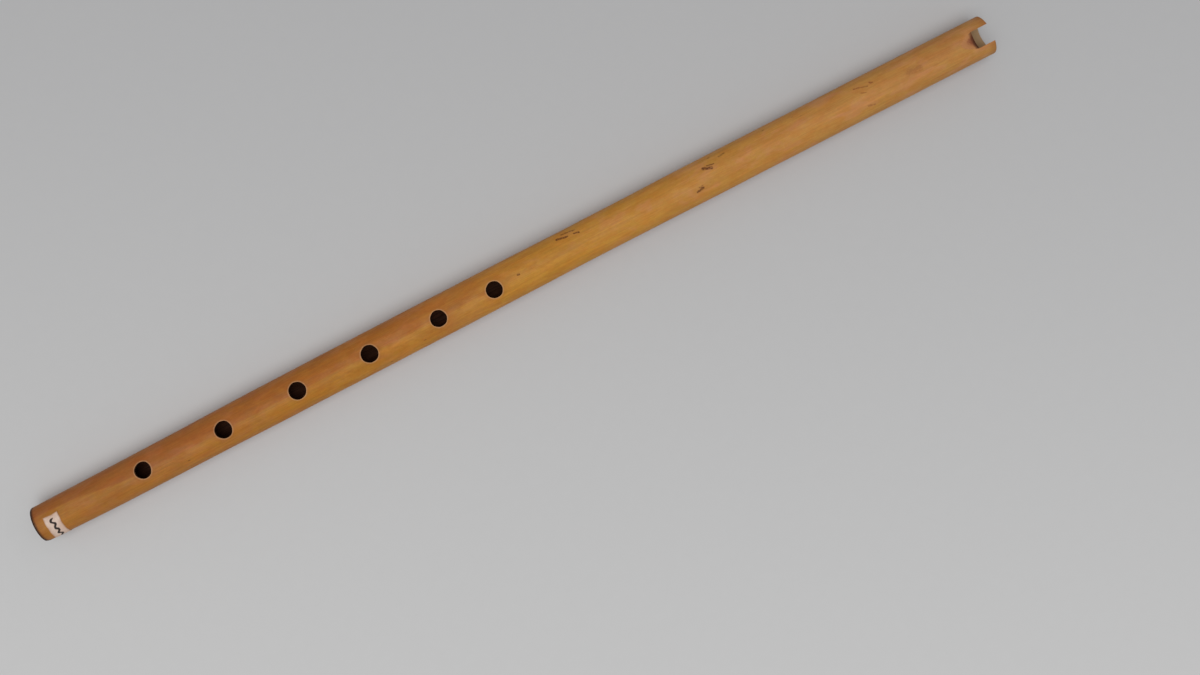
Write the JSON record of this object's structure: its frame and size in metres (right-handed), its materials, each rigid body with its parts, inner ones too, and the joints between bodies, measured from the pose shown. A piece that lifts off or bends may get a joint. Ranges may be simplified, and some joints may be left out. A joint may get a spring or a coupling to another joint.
{
  "type": "notched cane flute",
  "caption": "End-blown notched flute made of one length of cane, with finger holes, a thumb hole and a paper label.",
  "frame": {"origin": "under the middle of the tube, on the surface that the flute lies on", "axes": "+X along the tube from the open foot to the notched head, +Z out of the finger-hole side"},
  "size_m": [0.49, 0.0188, 0.0189],
  "materials": {
    "cane": "satin, worn natural cane skin",
    "paper": "matt aged paper"
  },
  "bodies": {
    "root": {"cane_tube": "cane", "paper_label": "paper"}
  },
  "joints": []
}
